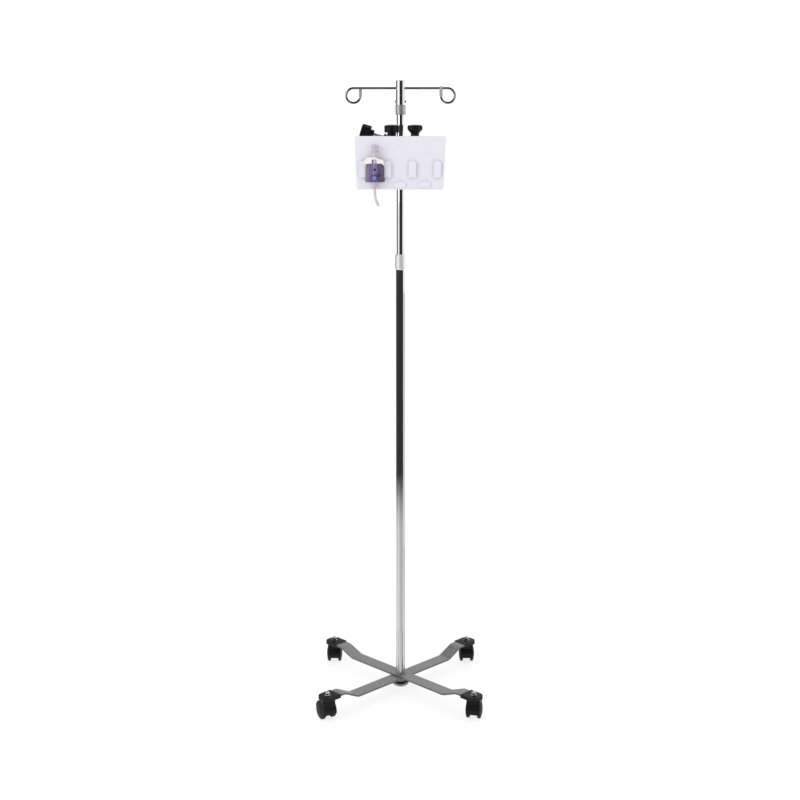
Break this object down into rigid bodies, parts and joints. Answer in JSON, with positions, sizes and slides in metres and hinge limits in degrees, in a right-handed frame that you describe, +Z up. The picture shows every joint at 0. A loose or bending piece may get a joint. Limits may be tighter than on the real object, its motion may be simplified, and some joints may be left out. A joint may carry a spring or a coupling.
{
  "type": "infusion stand with transducer plate",
  "caption": "Telescoping chrome infusion stand on a crossed-bar caster base, with looped bag hooks and a clamped plate that carries a pressure transducer.",
  "frame": {"origin": "on the floor under the pole's axis", "axes": "+Z up along the pole, -Y the side that the transducer plate faces, +X to the right of someone facing the plate"},
  "size_m": [0.4658, 0.4673, 1.733],
  "materials": {
    "bar_paint": "grey hammertone powder coat, satin",
    "chrome_tube": "polished chrome plate",
    "chrome_rod": "polished chrome plate",
    "satin_aluminium": "satin",
    "cast_aluminium": "fine cast texture, satin",
    "zinc_steel": "bright zinc plate",
    "dish_steel": "pressed steel, satin",
    "spring_steel": "tempered spring steel",
    "black_plastic": "moulded, fine texture",
    "caster_plastic": "moulded, satin",
    "wheel_plastic": "moulded nylon, satin",
    "knob_plastic": "moulded, fine texture",
    "white_nylon": "moulded nylon",
    "grey_vinyl": "soft vinyl sleeve",
    "plate_plastic": "moulded, satin gloss",
    "violet_plastic": "clear tinted, glossy",
    "lilac_plastic": "clear tinted, glossy",
    "cream_plastic": "moulded, glossy",
    "blue_plastic": "moulded, glossy",
    "board_green": "solder mask",
    "clear_vinyl": "clear soft vinyl"
  },
  "bodies": {
    "base": {"leg_bar_upper": "bar_paint", "leg_bar_lower": "bar_paint", "leg_end_shoes": "black_plastic", "caster_stems": "zinc_steel", "stem_nuts": "zinc_steel", "stem_washers": "zinc_steel", "tube_end_plug": "zinc_steel", "base_bolt": "zinc_steel", "base_dish": "dish_steel", "outer_tube": "chrome_tube", "lock_collet": "white_nylon"},
    "caster_rear_right": {"caster_rear_right_hood": "caster_plastic", "caster_rear_right_axle": "zinc_steel"},
    "caster_rear_right_wheel_left": {"caster_rear_right_wheel_left": "wheel_plastic"},
    "caster_rear_right_wheel_right": {"caster_rear_right_wheel_right": "wheel_plastic"},
    "caster_rear_left": {"caster_rear_left_hood": "caster_plastic", "caster_rear_left_axle": "zinc_steel"},
    "caster_rear_left_wheel_left": {"caster_rear_left_wheel_left": "wheel_plastic"},
    "caster_rear_left_wheel_right": {"caster_rear_left_wheel_right": "wheel_plastic"},
    "caster_front_left": {"caster_front_left_hood": "caster_plastic", "caster_front_left_axle": "zinc_steel"},
    "caster_front_left_wheel_left": {"caster_front_left_wheel_left": "wheel_plastic"},
    "caster_front_left_wheel_right": {"caster_front_left_wheel_right": "wheel_plastic"},
    "caster_front_right": {"caster_front_right_hood": "caster_plastic", "caster_front_right_axle": "zinc_steel"},
    "caster_front_right_wheel_left": {"caster_front_right_wheel_left": "wheel_plastic"},
    "caster_front_right_wheel_right": {"caster_front_right_wheel_right": "wheel_plastic"},
    "lock_collar": {"lock_collar": "satin_aluminium"},
    "mast_guide": {"mast_guide": "white_nylon"},
    "mast": {"mast_tube": "chrome_tube", "head_sleeve": "chrome_tube", "head_cap": "satin_aluminium", "hook_rod": "chrome_rod", "hook_tips": "grey_vinyl", "stop_collar": "satin_aluminium", "snap_spring": "spring_steel"},
    "snap_button_left": {"snap_button_left": "zinc_steel"},
    "snap_button_right": {"snap_button_right": "zinc_steel"},
    "clamp_liner": {"clamp_liner": "black_plastic"},
    "clamp": {"clamp_body": "cast_aluminium", "plate_bracket": "cast_aluminium", "bracket_screws": "zinc_steel"},
    "clamp_jaw": {"clamp_jaw": "black_plastic"},
    "clamp_screw": {"clamp_screw": "zinc_steel", "clamp_knob": "knob_plastic"},
    "lock_pad_left": {"lock_pad_left": "white_nylon"},
    "lock_screw_left": {"lock_screw_left": "zinc_steel", "lock_knob_left": "knob_plastic"},
    "lock_pad_right": {"lock_pad_right": "white_nylon"},
    "lock_screw_right": {"lock_screw_right": "zinc_steel", "lock_knob_right": "knob_plastic"},
    "plate": {"transducer_plate": "plate_plastic"},
    "transducer": {"transducer_body": "violet_plastic", "transducer_back": "violet_plastic", "sensor_board": "board_green", "shoulder_cap": "cream_plastic", "outlet_nozzle": "lilac_plastic", "outlet_tube": "clear_vinyl"},
    "luer_cap": {"luer_cap": "lilac_plastic"},
    "valve_handle": {"valve_handle": "blue_plastic"}
  },
  "joints": [
    {"name": "caster_rear_right_swivel", "type": "hinge", "parent": "base", "child": "caster_rear_right", "pos_m": [0.2028, 0.2028, 0.045], "axis": [0, 0, 1], "continuous": true},
    {"name": "caster_rear_right_wheel_left_spin", "type": "hinge", "parent": "caster_rear_right", "child": "caster_rear_right_wheel_left", "pos_m": [0.2028, 0.2108, 0.025], "axis": [1, 0, 0], "continuous": true},
    {"name": "caster_rear_right_wheel_right_spin", "type": "hinge", "parent": "caster_rear_right", "child": "caster_rear_right_wheel_right", "pos_m": [0.2028, 0.2108, 0.025], "axis": [1, 0, 0], "continuous": true},
    {"name": "caster_rear_left_swivel", "type": "hinge", "parent": "base", "child": "caster_rear_left", "pos_m": [-0.2028, 0.2028, 0.045], "axis": [0, 0, 1], "continuous": true},
    {"name": "caster_rear_left_wheel_left_spin", "type": "hinge", "parent": "caster_rear_left", "child": "caster_rear_left_wheel_left", "pos_m": [-0.2028, 0.2108, 0.025], "axis": [1, 0, 0], "continuous": true},
    {"name": "caster_rear_left_wheel_right_spin", "type": "hinge", "parent": "caster_rear_left", "child": "caster_rear_left_wheel_right", "pos_m": [-0.2028, 0.2108, 0.025], "axis": [1, 0, 0], "continuous": true},
    {"name": "caster_front_left_swivel", "type": "hinge", "parent": "base", "child": "caster_front_left", "pos_m": [-0.2028, -0.2028, 0.045], "axis": [0, 0, 1], "continuous": true},
    {"name": "caster_front_left_wheel_left_spin", "type": "hinge", "parent": "caster_front_left", "child": "caster_front_left_wheel_left", "pos_m": [-0.20692, -0.19594, 0.025], "axis": [0.8572, 0.515, 0], "continuous": true},
    {"name": "caster_front_left_wheel_right_spin", "type": "hinge", "parent": "caster_front_left", "child": "caster_front_left_wheel_right", "pos_m": [-0.20692, -0.19594, 0.025], "axis": [0.8572, 0.515, 0], "continuous": true},
    {"name": "caster_front_right_swivel", "type": "hinge", "parent": "base", "child": "caster_front_right", "pos_m": [0.2028, -0.2028, 0.045], "axis": [0, 0, 1], "continuous": true},
    {"name": "caster_front_right_wheel_left_spin", "type": "hinge", "parent": "caster_front_right", "child": "caster_front_right_wheel_left", "pos_m": [0.20446, -0.19497, 0.025], "axis": [0.9781, -0.2079, 0], "continuous": true},
    {"name": "caster_front_right_wheel_right_spin", "type": "hinge", "parent": "caster_front_right", "child": "caster_front_right_wheel_right", "pos_m": [0.20446, -0.19497, 0.025], "axis": [0.9781, -0.2079, 0], "continuous": true},
    {"name": "lock_collar_turn", "type": "hinge", "parent": "base", "child": "lock_collar", "pos_m": [0, 0, 1.249], "axis": [0, 0, 1], "range_deg": [0, 120]},
    {"name": "mast_slide", "type": "slide", "parent": "base", "child": "mast_guide", "axis": [0, 0, 1], "range_m": [-0.15, 0.4]},
    {"name": "mast_turn", "type": "hinge", "parent": "mast_guide", "child": "mast", "pos_m": [0, 0, 1], "axis": [0, 0, 1], "continuous": true},
    {"name": "snap_button_left_press", "type": "slide", "parent": "mast", "child": "snap_button_left", "axis": [1, 0, 0], "range_m": [0, 0.003], "stiffness_N_per_m": 800, "deforming": ["snap_spring"]},
    {"name": "snap_button_right_press", "type": "slide", "parent": "mast", "child": "snap_button_right", "axis": [-1, 0, 0], "range_m": [0, 0.003], "stiffness_N_per_m": 800, "deforming": ["snap_spring"]},
    {"name": "clamp_slide", "type": "slide", "parent": "mast", "child": "clamp_liner", "axis": [0, 0, 1], "range_m": [-0.06, 0.04]},
    {"name": "clamp_turn", "type": "hinge", "parent": "clamp_liner", "child": "clamp", "pos_m": [0, 0, 1.558], "axis": [0, 0, 1], "continuous": true},
    {"name": "clamp_jaw_slide", "type": "slide", "parent": "clamp", "child": "clamp_jaw", "axis": [-0.9563, 0, 0.2924], "range_m": [0, 0.0075]},
    {"name": "clamp_screw_turn", "type": "hinge", "parent": "clamp_jaw", "child": "clamp_screw", "pos_m": [0, 0, 1.5698], "axis": [-0.9563, 0, 0.2924], "range_deg": [0, 1800]},
    {"name": "lock_pad_left_slide", "type": "slide", "parent": "clamp", "child": "lock_pad_left", "axis": [0, 0, 1], "range_m": [0, 0.005]},
    {"name": "lock_screw_left_turn", "type": "hinge", "parent": "lock_pad_left", "child": "lock_screw_left", "pos_m": [-0.0235, -0.036, 1.59], "axis": [0, 0, 1], "range_deg": [0, 1440]},
    {"name": "lock_pad_right_slide", "type": "slide", "parent": "clamp", "child": "lock_pad_right", "axis": [0, 0, 1], "range_m": [0, 0.005]},
    {"name": "lock_screw_right_turn", "type": "hinge", "parent": "lock_pad_right", "child": "lock_screw_right", "pos_m": [0.0382, -0.036, 1.59], "axis": [0, 0, 1], "range_deg": [0, 1440]},
    {"name": "plate_release", "type": "slide", "parent": "clamp", "child": "plate", "axis": [0, -1, 0], "range_m": [0, 0.032]},
    {"name": "transducer_lift", "type": "slide", "parent": "plate", "child": "transducer", "axis": [0, 0, 1], "range_m": [0, 0.06]},
    {"name": "luer_cap_turn", "type": "hinge", "parent": "transducer", "child": "luer_cap", "pos_m": [-0.0682, -0.076, 1.555], "axis": [0, 0, 1], "range_deg": [0, 180]},
    {"name": "valve_handle_turn", "type": "hinge", "parent": "transducer", "child": "valve_handle", "pos_m": [-0.0697, -0.083, 1.479], "axis": [0, -1, 0], "range_deg": [-90, 0]}
  ],
  "couplings": [
    {"joint": "clamp_jaw_slide", "follows": "clamp_screw_turn", "m_per_rad": 0.00023873},
    {"joint": "lock_pad_left_slide", "follows": "lock_screw_left_turn", "m_per_rad": 0.00019894},
    {"joint": "lock_pad_right_slide", "follows": "lock_screw_right_turn", "m_per_rad": 0.00019894}
  ]
}
